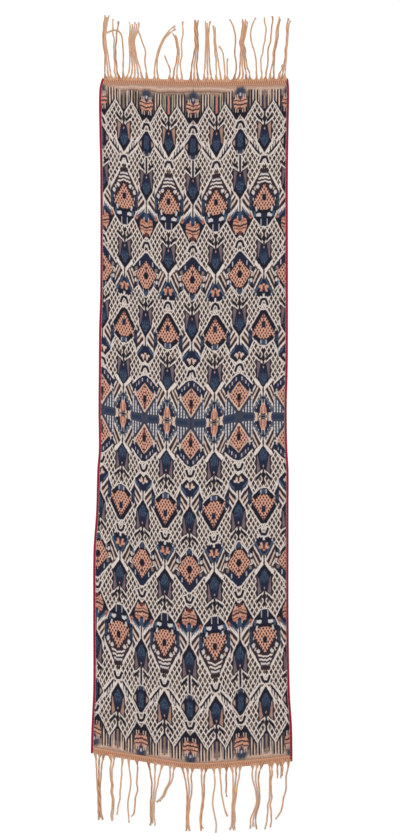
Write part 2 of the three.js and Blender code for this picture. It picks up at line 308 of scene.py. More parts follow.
# The chart, in painting order: motif, dye, width of a cream rim or, below zero, a softer edge, and corners of
# a convex figure, each as its distance from the column's axis and from the motif's place towards the end of
# the cloth. First the dark ground of the ends, which fades out into bare warp.
END_CHART = [
    ("main", "black", 1, (0, 303.4), (1, 303.6), (9.2, 316), (9.2, 340), (0, 340)),
    ("offset", "black", 1, (0, 300.8), (3.9, 295.8), (14.8, 314.6), (14.8, 340), (0, 340)),
]
CHART = {
    "comb and upper beetle": [
        ("main", "comb_red", 0, (0, 306.8), (1, 306.8), (1.1, 325.2), (0, 325.2)),
        ("main", "plum", 0, *bar(1.7, 2.3, 307.4, 323)),
        ("main", "comb_green", 0, (3.2, 309), (4.2, 310.4), (4.5, 325.2), (3.2, 325.2)),
        ("main", "comb", -0.8, (5.2, 313), (9, 317.4), (9, 326), (5.2, 326)),
        ("offset", "comb", -0.8, (7.6, 306.4), (8.8, 308), (14, 316.6), (14, 326), (7.6, 326)),
        ("offset", "drab", -2, (0, 321), (6, 321), (5.6, 326), (3, 329), (0, 329)),
        ("offset", "slate", -1.4, (0, 319), (5, 319.4), (4.6, 325.6), (2.2, 328.4), (0, 328.4)),
        ("offset", "apricot", 0, (0, 307), (3.6, 307.2), (5.9, 309.4), (6.9, 313), (6.6, 317),
         (5, 318.4), (0, 317.6)),
        ("offset", "umber", 0, (0, 315), (0, 313.8), (6.7, 315.8), (6.7, 317)),
        ("offset", "umber", 0, (0, 311.4), (0, 309.6), (6.9, 311.8), (6.9, 313.4)),
        ("offset", "rust", 0, (0, 308.4), (0, 305.6), (2.4, 306.8), (3.4, 308)),
        ("offset", "plum", 0, (0, 320.6), (0, 314.6), (1.7, 318), (1.6, 320.6)),
        ("offset", "pale", 0, *bar(0, 0.7, 319.8, 322.6)),
        ("offset", "blush", 0, *bar(2.4, 3.2, 317.4, 321.6)),
        ("offset", "blush", 0, *bar(4.3, 5.1, 317.2, 321.4)),
        ("offset", "blush", 0, (1.9, 303.4), (2.7, 303.4), (2.7, 306.8), (1.9, 306.4)),
        ("offset", "blush", 0, (4.2, 303.8), (5, 303.8), (5, 308.2), (4.2, 307.6)),
        ("offset", "drab", 0, *bar(0, 0.7, 283.8, 299.8)),
    ],
    "crossed bands and seed": [
        ("main", "cream", 0, (2.2, 265), (4, 262.8), (16, 278.6), (15, 280.4)),
        ("main", "cream", 0, (5.2, 260.8), (6, 259.2), (16.8, 272.6), (16, 274.4)),
        ("main", "black", 0, (4.2, 262.4), (5.2, 260.8), (17, 276.4), (16.4, 278)),
        ("main", "black", 0, (5.2, 263), (6.3, 264.4), (6.3, 269.8), (5.2, 268.2)),
        ("main", "black", 0, (7.6, 266), (8.7, 267.4), (8.7, 272.8), (7.6, 271.2)),
        ("main", "black", 0, (10, 269), (11.1, 270.4), (11.1, 275.8), (10, 274.2)),
        ("offset", "black", 0.9, (0, 287.4), (1.8, 286.4), (8.6, 275), (8, 272.4), (3.2, 262.8),
         (0, 262.8)),
        ("offset", "rose", -0.6, (5.2, 277), (7.1, 275), (6.9, 272.8), (5.4, 271.6)),
        ("offset", "navy", 0, (0, 283.6), (2.5, 283.6), (3.1, 281), (3.1, 268), (2.4, 264.6), (0, 264.6)),
        ("offset", "flecked", 0, (0, 282.6), (1.8, 282.2), (2.6, 279), (2.5, 270), (0, 269)),
        ("offset", "pale", 0, *bar(2.6, 3.1, 263.4, 266)),
        ("offset", "slate", -0.6, (0, 265), (2, 265), (1.6, 260.4), (0, 260)),
        ("offset", "black", 0.9, (0, 261), (0, 244.5), (0.9, 244.5), (1, 261)),
    ],
    "first row ground": [
        ("offset", "black", 1, (0, 206.8), (0, 182.3), (3.4, 178.4), (13.2, 197.8), (13.6, 199.8)),
        ("main", "umber", 1.2, (0, 243.4), (0, 231), (9, 216), (13, 221), (14.6, 224), (4.8, 243)),
        ("main", "umber", 0, (0, 247.4), (0, 243), (4.6, 243), (3.6, 247.4)),
        ("main", "pale", 0, (0, 242.6), (0, 241), (4.3, 240.2), (4, 242)),
        ("main", "cream", 0, (0, 239.2), (0, 237.6), (5.8, 236.2), (5.3, 238)),
        ("main", "cream", 0, (0, 235.8), (0, 234.4), (7, 232), (6.5, 233.8)),
        ("main", "pale", 0, (4.6, 229.2), (6, 226.8), (8.2, 228.4), (7.8, 230.6), (5.6, 231)),
        ("main", "blush", 0, (8.2, 226), (9.4, 226), (10.2, 228.4), (9, 229.2)),
        ("main", "black", 0.9, (0, 206), (0, 190), (3.5, 190), (10, 198.5), (12, 204), (10.5, 212)),
        ("main", "navy", 0, (11, 205), (14.4, 206), (14.8, 223), (12.4, 224), (11, 221)),
        ("main", "flecked", 0, *bar(12.2, 13.8, 209, 221)),
        ("main", "pale", 0, (9.2, 223.2), (10.4, 221), (12.4, 222.8), (11.6, 225.8), (9.8, 225.6)),
    ],
    "second row ground": [
        ("main", "black", 1, (0, 140), (0, 122), (3.6, 118.8), (15.2, 132.6), (15.2, 146), (9.4, 148)),
        ("offset", "black", 1, (0, 147.2), (0, 122.8), (0.8, 122.6), (8.4, 133.8), (8.4, 147.2)),
        ("offset", "navy", 1.2, (0, 165.6), (0, 151.2), (13.6, 144.6), (15.2, 148.8), (1.6, 165.4)),
    ],
    "third row ground": [
        ("offset", "black", 1, (0, 74.3), (0, 58.2), (3.2, 55), (8.6, 61.4), (14.2, 79.3)),
        ("main", "black", 1.2, (0, 106.6), (0, 96), (10.6, 82), (14.6, 86), (2.8, 106)),
        ("main", "black", 1, (9.3, 77.6), (14.8, 66), (15.6, 76), (12, 86)),
        ("main", "black", 1, (0, 84), (0, 71), (3, 71.4), (9.3, 77.6), (11, 80), (10.4, 84)),
        ("main", "navy", 0, (10.8, 86), (11, 76), (13.8, 70.4), (15.6, 76), (15.4, 85), (13.4, 87.4)),
        ("main", "flecked", 0, (12, 76.4), (14.2, 76.4), (14.4, 82.6), (12.4, 82.6)),
    ],
    "chevron and fence": [
        ("offset", "slate", 0, (0, 24.3), (0, 0), (14.8, 0), (14.4, 22.3), (10, 24.3)),
        ("offset", "fence", 0, (2.6, 4.6), (14.4, 4.6), (14.4, 21), (12.4, 21)),
        ("offset", "navy", 1.2, (0, 43.1), (0, 28.3), (13.4, 24.3), (15, 30.3), (5.6, 40.5), (1.6, 42.9)),
    ],
    "plumes under the flowers of the offset column": [
        ("plume", "umber", 0, (1.2, -3.4), (8.8, -14.5), (8.8, 12), (7.8, 13)),
        ("plume", "cream", 0, (4.3, 6.3), (8.8, -1.4), (8.8, 1.7), (5.2, 7.8)),
        ("plume", "blush", 0, (2.6, 1.4), (8.8, -7.8), (8.8, -4.6), (3.4, 3.6)),
        ("plume", "navy", 0, (0, -10), (0, -21), (8.8, -20.5), (8.8, -15)),
        ("plume", "steel", 0, (1.4, -7.2), (1.5, -10), (8.8, -18.8), (8.8, -16.2)),
        ("plume", "cream", 0, (1.7, -5.6), (8.8, -14.8), (8.8, -12), (2.3, -3.4)),
        ("plume", "cream", 0, (0.6, -13), (1.7, -12), (2.2, -2), (0.9, -1)),
        ("plume", "umber", 0, *bar(0, 0.6, -14, 0)),
    ],
    "feathers under the flowers of the main column": [
        ("feather", "umber", 0, (1.4, -3.4), (10.4, -21), (10.4, 2.4), (8.8, 5)),
        ("feather", "cream", 0, (7, 1.2), (10.2, -5.6), (10.2, -2.6), (7.9, 2.2)),
        ("feather", "blush", 0, (4.4, -0.2), (10.4, -13.8), (10.4, -10.4), (5.4, 0.8)),
        ("feather", "navy", 0, (0, -9.6), (0, -27), (8, -25.6), (1.2, -9.6)),
        ("feather", "steel", 0, (1.4, -7.2), (1.3, -10), (8.8, -24.6), (9.5, -22)),
        ("feather", "cream", 0, (2, -4.8), (9.6, -20.4), (9.8, -18), (2.8, -3.4)),
        ("feather", "cream", 0, (0.8, -9), (2, -7.4), (2.2, -1.5), (0.9, -1)),
        ("feather", "umber", 0, *bar(0, 0.6, -10, 0)),
    ],
    "first row diamond, keel and lower beetle": [
        ("main", "black", 0, (0, 234), (0, 204.8), (3.4, 204.8), (11.8, 208.6), (11.6, 214.4)),
        ("main", "orange", 0, (0, 232.4), (0, 206.4), (3.2, 206.4), (10.6, 210.4), (10.4, 214.6)),
        ("main", "black", 0, (6.6, 207.6), (9.8, 209.4), (8.2, 212.6)),
        ("main", "black", 0, *bar(0, 1.9, 215.8, 222)),
        ("main", "rust", 0, (0, 228.4), (0, 225.6), (0.9, 227)),
        ("main", "navy", 0, (0, 203), (0, 190), (2.6, 190), (2.4, 203)),
        ("main", "pale", 0, *bar(2.7, 3.3, 190.5, 197)),
        ("main", "pale", 0, (3.2, 202.4), (3, 199.8), (7.6, 199.6), (8, 202), (5, 203.4)),
        ("main", "pale", 0, (6.6, 205.4), (7.8, 205), (8.8, 208.8), (7.6, 210), (6.8, 208)),
        ("main", "steel", 0, (7.8, 199.5), (10.2, 199.5), (10.2, 204.5), (8.6, 206)),
        ("main", "salmon", 0, (12, 198.4), (13.4, 197.4), (14.7, 199.4), (14.2, 202.6), (12.6, 203.2),
         (11.8, 201)),
        ("main", "rust", 0, *bar(12.8, 13.8, 199.4, 201.6)),
        ("offset", "indigo", 0, (0, 204.8), (0, 197.8), (2.4, 198.8), (2.6, 204.3)),
        ("offset", "blush", 0, *bar(2, 2.8, 197.6, 201)),
        ("offset", "apricot", 0, (0, 184.6), (3.8, 184.2), (6, 187.2), (6.9, 191.6), (6.5, 197),
         (5.4, 198.2), (0, 195.4)),
        ("offset", "salmon", -0.8, (1.6, 195.4), (4.4, 195), (5, 198.4), (2.2, 198.6)),
        ("offset", "umber", 0, (0, 191.6), (0, 189.6), (6.9, 191.8), (6.9, 193.6)),
        ("offset", "umber", 0, (0, 188.2), (0, 187.2), (5.8, 188.6), (5.8, 189.6)),
        ("offset", "umber", 0, (1.2, 195), (1.2, 194.2), (6.6, 196), (6.6, 196.8)),
        ("offset", "maroon", 0, (0, 186.4), (0, 181.6), (1.8, 181.6), (1.8, 185.6)),
        ("offset", "blush", 0, (3.6, 182.6), (4.4, 182.8), (4.4, 186), (3.6, 185.6)),
    ],
    "second row diamond, pebbles and trefoil": [
        ("offset", "pale", 0, *bar(6.6, 7.4, 152, 156.2)),
        ("offset", "drab", 0, (9.2, 146.6), (12, 147.2), (12, 150), (9.6, 150.6)),
        ("main", "blush", 0, (10.6, 140.6), (13.2, 140.4), (13.6, 142.8), (11.8, 143.8), (10.6, 142.8)),
        ("main", "pale", 0, (11.2, 135), (12.8, 134.6), (13.8, 137), (12.6, 138.8), (11.2, 137.8)),
        ("main", "steel", 0, (12.6, 132.4), (14.6, 132.4), (15, 135.6), (13.6, 136.6)),
        ("offset", "black", 0, (0, 159.6), (0, 128.8), (3.4, 128.8), (11, 141), (11.6, 143.4)),
        ("offset", "orange", 0, (0, 158), (0, 130.4), (2.8, 130.4), (10, 141.8), (10.6, 143.8)),
        ("offset", "rust", 0, (0, 152.8), (0, 148.8), (0.7, 149.2), (1, 151.2)),
        ("offset", "umber", 0, *bar(0, 0.5, 146.2, 150.2)),
        ("offset", "black", 0, (0, 146.2), (0, 139.2), (1.6, 139.2), (2.3, 141.2), (2.3, 144.6),
         (1.4, 146.2)),
        ("offset", "indigo", 0, *bar(0, 1.5, 123.2, 128.2)),
        ("offset", "pale", 0, *bar(2.7, 3.3, 126.2, 129.2)),
        ("main", "apricot", 0, (0, 133), (0, 129), (1.2, 129), (1.2, 132.4)),
        ("main", "apricot", 0, (0.8, 130.6), (0.8, 128.6), (4.6, 128.2), (4.9, 130.2), (3.6, 131.2)),
        ("main", "apricot", 0, (0.7, 129), (1.7, 124.6), (3.8, 125), (2.8, 129)),
        ("main", "maroon", 0, *bar(0, 0.9, 126.4, 131)),
        ("main", "black", 0, (2, 119.4), (4.4, 118.8), (5.6, 122.6), (3.4, 124.6), (2, 123)),
        ("main", "cream", 0, *bar(0, 0.9, 118.5, 122.6)),
    ],
    "third row diamond and small flower": [
        ("main", "orange", 0, (0, 103), (0, 77.6), (2.6, 77.8), (10.7, 80.6), (11, 83.6), (9.6, 86.4)),
        ("main", "black", 0, (8.2, 83), (3.8, 78.2), (10.4, 79.6)),
        ("main", "navy", 0, *bar(0, 1.9, 88.6, 95)),
        ("main", "rust", 0, (0, 100.6), (0, 98), (0.9, 99.3)),
        ("main", "indigo", 0, *bar(0, 1.9, 72, 77)),
        ("main", "lilac", 0, *bar(2, 3.1, 72.6, 76.4)),
        ("offset", "navy", 0, (0, 73.3), (0, 65.3), (4.4, 66.3), (3.6, 71.3)),
        ("offset", "blush", 0, (0, 65.6), (0, 62), (1.2, 62), (1.2, 65)),
        ("offset", "blush", 0, (0.8, 63.6), (0.8, 61.8), (4.4, 61.4), (4.7, 63.2), (3.4, 64.2)),
        ("offset", "blush", 0, (0.7, 62), (1.6, 58.4), (3.5, 58.8), (2.5, 62)),
        ("offset", "maroon", 0, *bar(0, 0.8, 59.8, 64)),
        ("offset", "black", 0, (2, 58.9), (3.4, 56.5), (4.8, 59.7), (3.8, 60.7)),
    ],
    "fourth row diamond and comb": [
        ("offset", "pale", 0, *bar(2.4, 3.2, 36.7, 39.9)),
        ("offset", "pale", 0, *bar(6.2, 7, 32.9, 36.3)),
        ("offset", "lilac", 0, *bar(8.8, 9.4, 30.7, 33.3)),
        ("offset", "plum", 0, (3.6, 35.3), (5.4, 33.9), (5.6, 38.3), (3.8, 39.3)),
        ("offset", "umber", 0, (0, 36.9), (0, 4.7), (0.8, 4.7), (10.4, 20.3), (10.8, 22.9)),
        ("offset", "blush", 0, (0, 35.5), (0, 6.1), (0.5, 6.1), (9.6, 20.9), (9.9, 23.1)),
        ("offset", "blush", 0, (9.4, 21.3), (11, 20.9), (11.2, 27.3), (10.2, 28.7)),
        ("offset", "orange", 0, (0, 34.9), (0, 8.3), (8.6, 21.1), (9, 23.3)),
        ("offset", "black", 0, *bar(0, 1.9, 16.3, 23.3)),
        ("offset", "maroon", 0, *bar(0, 0.9, 9.3, 16.3)),
        ("offset", "umber", 0, (0, 33.7), (0, 30.1), (0.7, 32.3)),
        ("main", "apricot", 0, (0, 14), (0, 3), (3.4, 3), (3, 9), (1.2, 14)),
        ("main", "pale", 0, (0.9, 12), (1.6, 12), (1.4, 18), (1, 18)),
        ("main", "rust", 0, *bar(1.5, 2, 3, 9.6)),
    ],
    "flowers and brows": [
        ("sharp_tip", "cream", 0, (0.4, -3), (1.6, -3), (8.4, 9.4), (8.4, 13.6), (7, 13.8)),
        ("sharp_tip", "black", 0, (0, 14), (0, -1.4), (1, -1), (6.7, 8.2), (7, 14)),
        ("blunt_tip", "cream", 0, (0.6, -1.2), (1.2, -4.2), (9.4, 5.6), (7.6, 8.4)),
        ("blunt_tip", "black", 0, (0, 14), (0, -1), (1, -0.6), (7.4, 8.6), (7.4, 14)),
        ("flower", "cream", 0, (1.4, 26.2), (1.4, 23.6), (7.6, 29), (7.6, 31.6)),
        ("flower", "black", 0, (0, 22.6), (0, 9), (7.2, 10), (7.4, 28.8)),
        ("flower", "wing", 0, (4.6, 11), (6, 9), (6.2, 26.8), (2.9, 23.4)),
        ("flower", "black", 0, (0, 22.8), (0, 0.4), (1.4, 1.2), (4.7, 7.6), (4.7, 13), (3.4, 19.4),
         (2.4, 22.8)),
        ("flower", "flecked", 0, (0, 18.6), (0, 2.2), (1.1, 2.8), (4, 8.4), (4, 13), (2.6, 18.6)),
        ("flower", "navy", -1.6, (0, 21), (0, 14), (4, 13), (2.6, 21)),
        ("flower", "rose", 0, (0, 21.2), (0, 18.8), (0.7, 20)),
        ("flower", "black", 0, (1.8, 28.8), (2.2, 25.6), (7.5, 31.2), (6.6, 34.6)),
        ("flower", "black", 0, *bar(0, 0.9, 23, 37)),
        ("brow", "black", 1.2, (0, 1.6), (0, -1.2), (2, -1.8), (2.6, 1)),
        ("brow", "black", 1, (1.2, -1.4), (2.9, -6.6), (5.3, -5.6), (2.9, 1)),
        ("brow", "black", 0, (0, 1.6), (0, -1.2), (2, -1.8), (2.6, 1)),
    ],
    "blocks along the mirror line": [
        ("main", "teal", 0, *bar(8.8, 19.8, -4, 1.9)),
        ("main", "plum", 0, *bar(8, 9.6, -4, 2.8)),
        ("main", "drab", 0, *bar(0, 4.6, -4, 1.6)),
        ("main", "black", 0, *bar(0, 2, -4, 0.9)),
        ("main", "blush", 0, *bar(5.4, 7.6, -4, 4)),
        ("offset", "slate", -0.6, *bar(0, 2.4, -4, 2)),
    ],
}


def linear(red, green, blue):
    """A dye as scene-linear colour, from its look on a screen from 0 to 255."""
    shown = np.array((red, green, blue)) / 255
    return tuple(np.where(shown <= 0.04045, shown / 12.92, ((shown + 0.055) / 1.055) ** 2.4))


def dye(name, description, *shown):
    """A colour setting."""
    return bpy.props.FloatVectorProperty(
        name=name, description=description, subtype="COLOR", size=3, min=0, max=1, default=linear(*shown)
    )


def length(name, description, millimetres):
    """A size setting, held in metres."""
    return bpy.props.FloatProperty(
        name=name, description=description, subtype="DISTANCE", unit="LENGTH", default=millimetres * MM
    )


class IkatDyes(bpy.types.PropertyGroup):
    """Dyes of the panel, the edging and the fringes."""

    cream: dye("Cream", "Net lines and bound-off yarn", 210, 197, 189)
    pale: dye("Pale", "Pebbles and dashes", 194, 188, 188)
    lilac: dye("Lilac", "Greyish stripes", 172, 164, 172)
    taupe: dye("Taupe", "Rings in the net", 134, 118, 108)
    net_dot: dye("Net dot", "Dark dots in the net", 40, 33, 39)
    bark: dye("Bark", "Brown dots in the net", 94, 79, 68)
    drab: dye("Drab", "Faded grey brown", 126, 108, 98)
    black: dye("Black", "Outlines dyed twice", 20, 18, 32)
    umber: dye("Umber", "Brown outlines and feather lines", 47, 33, 39)
    navy: dye("Navy", "Deep indigo", 24, 30, 53)
    indigo: dye("Indigo", "Middle indigo", 52, 68, 92)
    steel: dye("Steel", "Pale indigo of plumes and feathers", 62, 78, 100)
    teal: dye("Teal", "Blocks along the mirror line", 34, 48, 72)
    slate: dye("Slate", "Greyish indigo", 54, 58, 74)
    plum: dye("Plum", "Indigo over red", 70, 52, 72)
    mauve: dye("Mauve", "Wings of the flowers", 108, 90, 96)
    rose: dye("Rose", "Eyes of the flowers and sides of the seeds", 176, 146, 136)
    blush: dye("Blush", "Pale red lines", 202, 176, 160)
    salmon: dye("Salmon", "Red in beetles, trefoils and spots", 178, 116, 98)
    orange: dye("Orange", "Ground of the diamonds", 208, 155, 132)
    apricot: dye("Apricot", "Light part of beetles and trefoils", 200, 158, 134)
    wing: dye("Wing", "Wings of the flowers near the ends", 156, 120, 107)
    rust: dye("Rust", "Dots in the orange", 78, 44, 46)
    maroon: dye("Maroon", "Red bars", 92, 44, 46)
    sage: dye("Sage", "Green stripes at the upper end", 158, 164, 128)
    tan: dye("Tan", "Undyed warp at the ends", 178, 142, 122)
    heading: dye("Heading", "Twined headings", 208, 144, 104)
    heading_dot: dye("Heading dot", "Dark turns of the twining", 132, 80, 56)
    yarn: dye("Yarn", "Fringe yarn", 212, 163, 125)
    # The dark yarn is both stained yarn and painted shade, given to strands at random.
    yarn_stain_and_shade: dye("Dark yarn", "Fringe yarn in shade or stained", 158, 112, 84)
    yarn_grey: dye("Grey yarn", "Fringe yarn that has faded", 198, 164, 138)
    crimson: dye("Crimson", "Edging", 146, 18, 46)
    floor: dye("Floor", "Floor under the cloth", 255, 255, 255)


class IkatSizes(bpy.types.PropertyGroup):
    """Sizes of the pieces."""

    thickness: length("Thickness", "Thickness of the panel", 1.2)
    ripple: length("Ripple", "Height of the panel's soft ripples", 0.9)
    edging_width: length("Edging width", "Width of the edging", 8.5)
    edging_height: length("Edging height", "Height of the edging", 2.4)
    edging_turn: length("Edging turn", "Length of one turn of the edging's cord", 6)
    heading_depth: length("Heading depth", "Depth of a heading along the warp", 20)
    heading_height: length("Heading height", "Thickness of a heading", 1.5)
    twining: length("Twining", "Length of one turn of the twining", 7)
    yarn_radius: length("Yarn radius", "Radius of one yarn of a strand", 1.1)
    twist_radius: length("Twist radius", "Distance of the yarns from a strand's middle", 1.45)
    gap: length("Gap", "Room between neighbouring pieces", 0.4)


def through(table, key, column, at):
    """A smooth curve through a table: between two rows a cubic, whose slope at a row is that of the line from
    the row before it to the row after it, and at the ends a curve that runs out straight."""
    x, v = table[key], table[column]
    slope = np.empty_like(v)
    slope[1:-1] = (v[2:] - v[:-2]) / (x[2:] - x[:-2])
    slope[0] = 1.5 * (v[1] - v[0]) / (x[1] - x[0]) - 0.5 * slope[1]
    slope[-1] = 1.5 * (v[-1] - v[-2]) / (x[-1] - x[-2]) - 0.5 * slope[-2]
    i = np.clip(np.searchsorted(x, at) - 1, 0, len(x) - 2)
    step = x[i + 1] - x[i]
    q = (at - x[i]) / step
    rise = v[i] + (v[i + 1] - v[i]) * q * q * (3 - 2 * q)
    return rise + step * q * (1 - q) * ((1 - q) * slope[i] - q * slope[i + 1])


def between(low, high, share):
    """The value that lies a share of the way from low to high."""
    return low + (high - low) * share


def panel_grid(across, along, inset, low, high):
    """Plan of a panel as a grid in millimetres: X runs between the side edges, each moved inwards by inset,
    and Y between the curves low and high of X. Each depends on the other, so a few rounds settle both."""
    p, q = np.meshgrid(np.linspace(0, 1, across), np.linspace(0, 1, along))
    x = between(-HALF_WIDTH, HALF_WIDTH, p)
    for _ in range(ROUNDS):
        y = between(low(x), high(x), q)
        x = between(through(SIDES, "y", "left", y) + inset, through(SIDES, "y", "right", y) - inset, p)
    return x, y


def grid_faces(rows, cols):
    """Quads of a grid of points, facing up where columns run along X and rows along Y."""
    at = np.arange(rows * cols).reshape(rows, cols)
    quads = np.stack([at[:-1, :-1], at[:-1, 1:], at[1:, 1:], at[1:, :-1]], -1)
    return quads.reshape(-1, 4)


def rim_loop(rows, cols):
    """Points round the edge of a grid, anticlockwise from its first corner."""
    at = np.arange(rows * cols).reshape(rows, cols)
    return np.concatenate([at[0, :-1], at[:-1, -1], at[-1, :0:-1], at[:0:-1, 0]])


def slab_faces(rows, cols):
    """Faces of a slab: an upper grid, a lower grid that faces down, and a rim between their edges."""
    top = grid_faces(rows, cols)
    low = top[:, ::-1] + rows * cols
    loop = rim_loop(rows, cols)
    after = np.roll(loop, -1)
    rim = np.stack([after, loop, loop + rows * cols, after + rows * cols], -1)
    return np.concatenate([top, low, rim])


def new_piece(name, points, faces, material, node, slot):
    """A mesh piece in the frame, which stands for a solid, from points in millimetres."""
    mesh = bpy.data.meshes.new(name)
    mesh.from_pydata((np.asarray(points, float) * MM).tolist(), [], [list(face) for face in faces])
    mesh.materials.append(material)
    mesh.polygons.foreach_set("use_smooth", np.ones(len(mesh.polygons), bool))
    mesh.update()
    if mesh.validate():
        raise RuntimeError(f"{name} has faulty faces")
    piece = bpy.data.objects.new(name, mesh)
    bpy.context.scene.collection.objects.link(piece)
    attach(piece, "root")
    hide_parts(node)
    return piece


def new_slab(name, x, y, low, high, *looks):
    """A slab piece over a grid in plan, between two heights at each point."""
    points = np.concatenate([np.stack([x, y, height], -1).reshape(-1, 3) for height in (high, low)])
    return new_piece(name, points, slab_faces(*x.shape), *looks)


def loop_points(mesh):
    """The point under each corner of a mesh's faces."""
    at = np.empty(len(mesh.loops), np.int32)
    mesh.loops.foreach_get("vertex_index", at)
    return at


def add_map(mesh, name, coordinates):
    """A UV map from coordinates for each corner."""
    layer = mesh.uv_layers.new(name=name)
    layer.data.foreach_set("uv", np.ascontiguousarray(coordinates, np.float32).ravel())


def slip_at(column, station):
    """The slip of the yarns at a place: straight lines between the table's stations, and between its axes."""
    names = list(SLIP)[1:]
    slips = np.stack([np.interp(station, SLIP["station"], SLIP[name]) for name in names])
    axes = np.arange(-1, len(names) - 1).reshape((-1,) + (1,) * column.ndim)
    nearness = np.clip(1 - np.abs(np.clip(column, -1, len(names) - 2) - axes), 0, 1)
    return (slips * nearness).sum(axis=0)


def chart_place(x, y):
    """Chart coordinates of points on the cloth. The first counts column axes, main ones even and offset ones
    odd, in straight steps between the axes at that height. The second is the distance from the mirror line in
    chart units, less the slip of the yarns. The slip depends on that distance, so a few rounds settle it."""
    axes = np.stack([np.interp(y, AXES["y"], AXES[name]) for name in list(AXES)[1:]])
    axes = np.concatenate([2 * axes[:1] - axes[1:2], axes, 2 * axes[-1:] - axes[-2:-1]])
    share = (x - axes[:-1]) / (axes[1:] - axes[:-1])
    column = -1 + np.clip(share, 0, 1).sum(axis=0) + np.minimum(share[0], 0) + np.maximum(share[-1] - 1, 0)
    off = (y - MIDDLE) / CHART_MM
    place = off
    for _ in range(ROUNDS):
        place = off - slip_at(column, place)
    return column, place


class Shade:
    """A socket of a shader in an expression. Operators on it add Math nodes to its tree."""

    def __init__(self, tree, socket=None):
        self.tree = tree
        self.socket = socket

    def make(self, kind, settings, sockets, out=0):
        """Adds a node of a kind, sets its settings, and then fills its sockets with values or links."""
        node = self.tree.nodes.new(kind)
        for name, value in settings.items():
            setattr(node, name, value)
        for key, value in sockets.items():
            if isinstance(value, Shade):
                self.tree.links.new(value.socket, node.inputs[key])
            else:
                node.inputs[key].default_value = value
        return Shade(self.tree, node.outputs[out])

    def math(self, operation, *values, clamp=False):
        settings = {"operation": operation, "use_clamp": clamp}
        return self.make("ShaderNodeMath", settings, dict(enumerate(values)))

    def __add__(self, other):
        return self.math("ADD", self, other)

    def __sub__(self, other):
        return self.math("SUBTRACT", self, other)

    def __rsub__(self, other):
        return self.math("SUBTRACT", other, self)

    def __mul__(self, other):
        return self.math("MULTIPLY", self, other)

    def __rmul__(self, other):
        return self.math("MULTIPLY", other, self)

    def __gt__(self, other):
        return self.math("GREATER_THAN", self, other)

    def __abs__(self):
        return self.math("ABSOLUTE", self)

    def times_plus(self, factor, term, clamp=False):
        return self.math("MULTIPLY_ADD", self, factor, term, clamp=clamp)

    def least(self, other):
        return self.math("MINIMUM", self, other)

    def most(self, other):
        return self.math("MAXIMUM", self, other)

    def fraction(self):
        return self.math("FRACT", self)

    def ramp(self, low, high):
        """0 up to low, 1 from high, and a straight rise between them."""
        return self.times_plus(1 / (high - low), -low / (high - low), clamp=True)

    def between(self, low, high):
        """The colour that lies this share of the way from low to high."""
        return self.make(
            "ShaderNodeMix", {"data_type": "RGBA"}, {0: self, 6: opaque(low), 7: opaque(high)}, out=2
        )

    def noise(self, x, y, detail=1.0):
        """Smooth noise from 0 to 1 over the plane, with a period of about one in x and in y."""
        place = self.make("ShaderNodeCombineXYZ", {}, {0: x, 1: y})
        settings = {"noise_dimensions": "2D"}
        return self.make("ShaderNodeTexNoise", settings, {"Vector": place, "Scale": 1.0, "Detail": detail})


def opaque(colour):
    """A colour for a socket: a link as it is, or three numbers with full alpha."""
    return colour if isinstance(colour, Shade) else (*colour, 1)


def new_finish(name, roughness, sheen):
    """A cloth finish: its material, a start for expressions, and its shader node. Constants are set on the
    shader's own sockets."""
    material = bpy.data.materials.new(name)
    material.use_nodes = True
    tree = material.node_tree
    shader = next(node for node in tree.nodes if node.type == "BSDF_PRINCIPLED")
    shader.inputs["Roughness"].default_value = roughness
    shader.inputs["Specular IOR Level"].default_value = 0.15
    shader.inputs["Sheen Weight"].default_value = sheen
    shader.inputs["Sheen Roughness"].default_value = 0.6
    return material, Shade(tree), shader


def map_axes(start, name):
    """The two coordinates of a UV map."""
    place = start.make("ShaderNodeUVMap", {"uv_map": name}, {})
    split = start.make("ShaderNodeSeparateXYZ", {}, {0: place})
    return split, Shade(start.tree, split.socket.node.outputs[1])


def edge_lines(corners):
    """The sides of a convex figure as (a, b, c), where a x + b y + c is the distance inside. Sides along the
    column's axis are left out, because the figure goes on beyond it as its own mirror image."""
    turn = sum(p[0] * q[1] - q[0] * p[1] for p, q in zip(corners, corners[1:] + corners[:1]))
    ring = corners if turn > 0 else corners[::-1]
    lines = []
    for (x0, y0), (x1, y1) in zip(ring, ring[1:] + ring[:1]):
        if x0 > 0 or x1 > 0:
            size = np.hypot(x1 - x0, y1 - y0)
            a, b = (y0 - y1) / size, (x1 - x0) / size
            lines.append((float(a), float(b), float(-a * x0 - b * y0)))
    return lines


def inside(x, y, corners):
    """How far a point is inside a convex figure: the least of its distances from the sides."""
    found = None
    for a, b, c in edge_lines(corners):
        along = y.times_plus(b, c) if b else c
        distance = x.times_plus(a, along) if a else along
        found = distance if found is None else found.least(distance)
    return found


def nearest_place(x, y, motif):
    """Coordinates about the nearest standing of a motif: as y passes from one standing to the next, steps add
    the difference of their places, and of their columns."""
    figures = [figure for section in CHART.values() for figure in section if figure[0] == motif]
    rows = [row for figure in figures for _, row in figure[3:]] or [0]
    stands = PLACES[motif]
    column, place = stands[0]
    flag, at = float(column), float(place)
    for (column0, place0), (column1, place1) in zip(stands, stands[1:]):
        below = y.math("LESS_THAN", y, (place0 + min(rows) + place1 + max(rows)) / 2)
        at = below.times_plus(place1 - place0, at)
        flag = below.times_plus(column1 - column0, flag) if column1 != column0 else flag
    if isinstance(flag, Shade):
        return x.times_plus(1 - 2 * flag, HALF_REPEAT * flag), y - at
    return (HALF_REPEAT - x if flag == OFFSET else x), y - at


